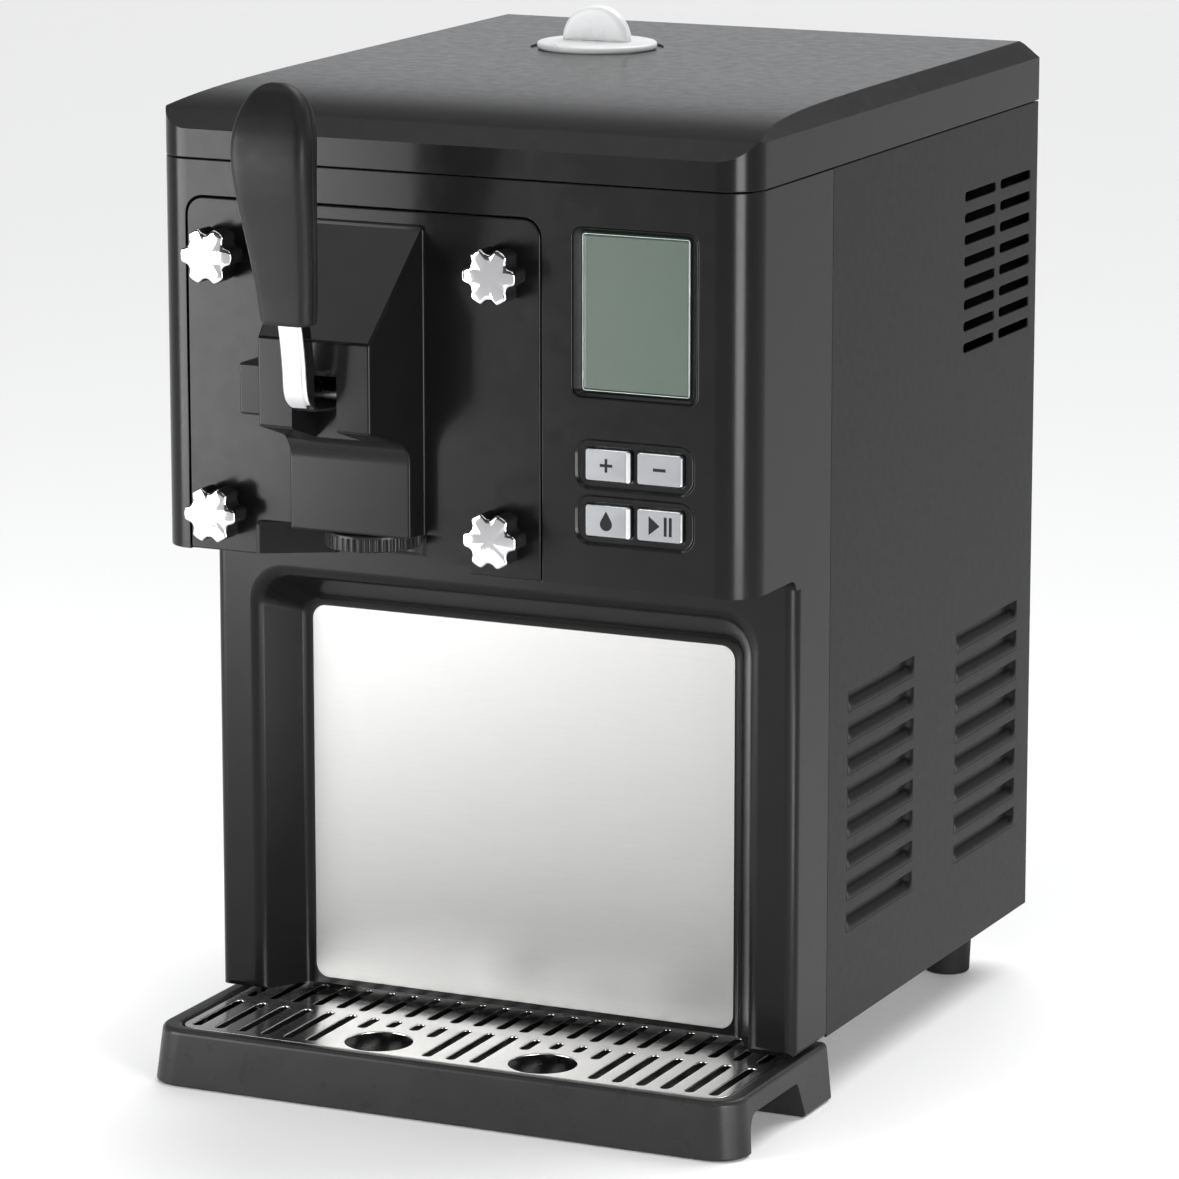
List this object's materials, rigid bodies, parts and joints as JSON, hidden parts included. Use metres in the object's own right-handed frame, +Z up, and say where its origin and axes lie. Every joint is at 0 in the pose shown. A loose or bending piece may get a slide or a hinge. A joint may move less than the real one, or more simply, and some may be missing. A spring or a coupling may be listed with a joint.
{
  "type": "countertop soft-serve ice cream machine",
  "caption": "Countertop soft-serve machine: black plastic front with a bolted freezer door, draw lever, star knobs, display and buttons, drip tray, vented metal body and its cooling parts",
  "frame": {"origin": "middle of the footprint, on the surface that the machine stands on", "axes": "+X to the machine's right as one faces it, +Y from the front door towards the rear panel, +Z up"},
  "size_m": [0.295, 0.4372, 0.474],
  "materials": {
    "housing_plastic": "satin black moulding with a fine texture",
    "door_plastic": "satin black moulding, slightly smoother than the housing",
    "tray_plastic": "satin black moulding",
    "body_metal": "dark grey powder coat, fine orange peel",
    "plated_steel": "zinc-plated sheet",
    "foot_rubber": "matt black rubber",
    "screw_steel": "bright turned steel",
    "seal_rubber": "red-brown food silicone",
    "knob_plastic": "black moulding, slightly glossy",
    "knob_chrome": "bright chrome plating",
    "lever_chrome": "polished chrome over a casting",
    "grip_plastic": "dark soft-touch, fine grain",
    "food_plastic": "off-white food-grade plastic",
    "blade_plastic": "blue scraper plastic",
    "display_glass": "clear window over a grey-green display",
    "circuit_board": "green laminate with solder mask",
    "button_silver": "silver paint with a bright edge",
    "backsplash_steel": "horizontally brushed stainless sheet",
    "grille_steel": "brushed stainless sheet, punched",
    "cap_plastic": "translucent white moulding",
    "hopper_steel": "drawn stainless",
    "copper": "drawn copper tube",
    "foam": "moulded insulating foam",
    "cast_alloy": "as-cast alloy",
    "belt_rubber": "matt black belt",
    "motor_metal": "turned and cast alloy",
    "compressor_paint": "thick semi-gloss black paint",
    "condenser_fins": "thin pressed fins on copper",
    "inner_plastic": "black moulding"
  },
  "bodies": {
    "housing": {"front_panel": "housing_plastic", "left_panel": "body_metal", "right_panel": "body_metal", "rear_panel": "body_metal", "base_plate": "plated_steel", "feet": "foot_rubber", "rear_screws": "screw_steel", "mid_shelf": "plated_steel", "top_cover": "housing_plastic", "display_bezel": "housing_plastic", "display_glass": "display_glass", "display_module": "circuit_board", "control_board": "circuit_board", "backsplash": "backsplash_steel", "mix_hopper": "hopper_steel", "freezing_cylinder": "hopper_steel", "evaporator_coil": "copper", "insulation_jacket": "foam", "shaft_seal": "seal_rubber", "gearbox": "cast_alloy", "drive_belt": "belt_rubber", "drive_motor": "motor_metal", "drive_bracket": "plated_steel", "compressor": "compressor_paint", "compressor_mounts": "foot_rubber", "condenser": "condenser_fins", "fan_shroud": "inner_plastic", "fan_motor": "motor_metal", "refrigerant_pipes": "copper", "power_inlet": "inner_plastic"},
    "door": {"front_door": "door_plastic", "door_gasket": "seal_rubber", "pivot_pin": "screw_steel"},
    "lever": {"lever_arm": "lever_chrome", "lever_grip": "grip_plastic"},
    "plunger": {"plunger": "food_plastic", "plunger_rings": "seal_rubber"},
    "nozzle": {"nozzle_ring": "knob_plastic", "star_nozzle": "food_plastic"},
    "knob_top_left": {"knob_top_left": "knob_plastic", "knob_cap_top_left": "knob_chrome"},
    "knob_top_right": {"knob_top_right": "knob_plastic", "knob_cap_top_right": "knob_chrome"},
    "knob_bottom_left": {"knob_bottom_left": "knob_plastic", "knob_cap_bottom_left": "knob_chrome"},
    "knob_bottom_right": {"knob_bottom_right": "knob_plastic", "knob_cap_bottom_right": "knob_chrome"},
    "button_plus": {"button_plus": "button_silver"},
    "button_minus": {"button_minus": "button_silver"},
    "button_clean": {"button_clean": "button_silver"},
    "button_play": {"button_play": "button_silver"},
    "cap": {"hopper_cap": "cap_plastic"},
    "tray": {"drip_tray": "tray_plastic", "drip_grille": "grille_steel"},
    "dasher": {"dasher": "food_plastic", "scraper_blades": "blade_plastic"},
    "gearbox_pulley": {"gearbox_pulley": "cast_alloy"},
    "motor_pulley": {"motor_pulley": "cast_alloy"},
    "fan": {"fan_blades": "inner_plastic"},
    "rocker": {"rocker_switch": "inner_plastic"}
  },
  "joints": [
    {"name": "door_removal", "type": "slide", "parent": "housing", "child": "door", "axis": [0, -1, 0], "range_m": [0, 0.08]},
    {"name": "lever_pull", "type": "hinge", "parent": "door", "child": "lever", "pos_m": [-0.0412, -0.16365, 0.3325], "axis": [1, 0, 0], "range_deg": [0, 28]},
    {"name": "plunger_lift", "type": "slide", "parent": "door", "child": "plunger", "axis": [0, 0, 1], "range_m": [0, 0.021]},
    {"name": "knob_top_left_turn", "type": "hinge", "parent": "door", "child": "knob_top_left", "pos_m": [-0.11045, -0.13765, 0.385], "axis": [0, 1, 0], "continuous": true},
    {"name": "knob_top_right_turn", "type": "hinge", "parent": "door", "child": "knob_top_right", "pos_m": [0.02805, -0.13765, 0.385], "axis": [0, 1, 0], "continuous": true},
    {"name": "knob_bottom_left_turn", "type": "hinge", "parent": "door", "child": "knob_bottom_left", "pos_m": [-0.11045, -0.13765, 0.2685], "axis": [0, 1, 0], "continuous": true},
    {"name": "knob_bottom_right_turn", "type": "hinge", "parent": "door", "child": "knob_bottom_right", "pos_m": [0.02805, -0.13765, 0.2685], "axis": [0, 1, 0], "continuous": true},
    {"name": "nozzle_turn", "type": "hinge", "parent": "door", "child": "nozzle", "pos_m": [-0.0412, -0.11965, 0.2595], "axis": [0, 0, 1], "range_deg": [0, 60]},
    {"name": "button_plus_press", "type": "slide", "parent": "housing", "child": "button_plus", "axis": [0, 1, 0], "range_m": [0, 0.0012], "stiffness_N_per_m": 900, "springref_m": -0.0004},
    {"name": "button_minus_press", "type": "slide", "parent": "housing", "child": "button_minus", "axis": [0, 1, 0], "range_m": [0, 0.0012], "stiffness_N_per_m": 900, "springref_m": -0.0004},
    {"name": "button_clean_press", "type": "slide", "parent": "housing", "child": "button_clean", "axis": [0, 1, 0], "range_m": [0, 0.0012], "stiffness_N_per_m": 900, "springref_m": -0.0004},
    {"name": "button_play_press", "type": "slide", "parent": "housing", "child": "button_play", "axis": [0, 1, 0], "range_m": [0, 0.0012], "stiffness_N_per_m": 900, "springref_m": -0.0004},
    {"name": "cap_lift", "type": "slide", "parent": "housing", "child": "cap", "axis": [0, 0, 1], "range_m": [0, 0.06]},
    {"name": "tray_pull", "type": "slide", "parent": "housing", "child": "tray", "axis": [0, -1, 0], "range_m": [0, 0.11]},
    {"name": "dasher_spin", "type": "hinge", "parent": "housing", "child": "dasher", "pos_m": [-0.0412, -0.00965, 0.32675], "axis": [0, 1, 0], "continuous": true},
    {"name": "gearbox_pulley_spin", "type": "hinge", "parent": "housing", "child": "gearbox_pulley", "pos_m": [-0.0412, 0.13235, 0.32675], "axis": [0, 1, 0], "continuous": true},
    {"name": "motor_pulley_spin", "type": "hinge", "parent": "housing", "child": "motor_pulley", "pos_m": [-0.0412, 0.13235, 0.2195], "axis": [0, 1, 0], "continuous": true},
    {"name": "fan_spin", "type": "hinge", "parent": "housing", "child": "fan", "pos_m": [0.094, 0.09235, 0.1445], "axis": [1, 0, 0], "continuous": true},
    {"name": "rocker_tip", "type": "hinge", "parent": "housing", "child": "rocker", "pos_m": [0.075, 0.21305, 0.1575], "axis": [1, 0, 0], "range_deg": [0, 12]}
  ],
  "couplings": [
    {"joint": "plunger_lift", "follows": "lever_pull", "m_per_rad": 0.0426},
    {"joint": "gearbox_pulley_spin", "follows": "dasher_spin", "ratio": 4},
    {"joint": "motor_pulley_spin", "follows": "dasher_spin", "ratio": 10}
  ]
}
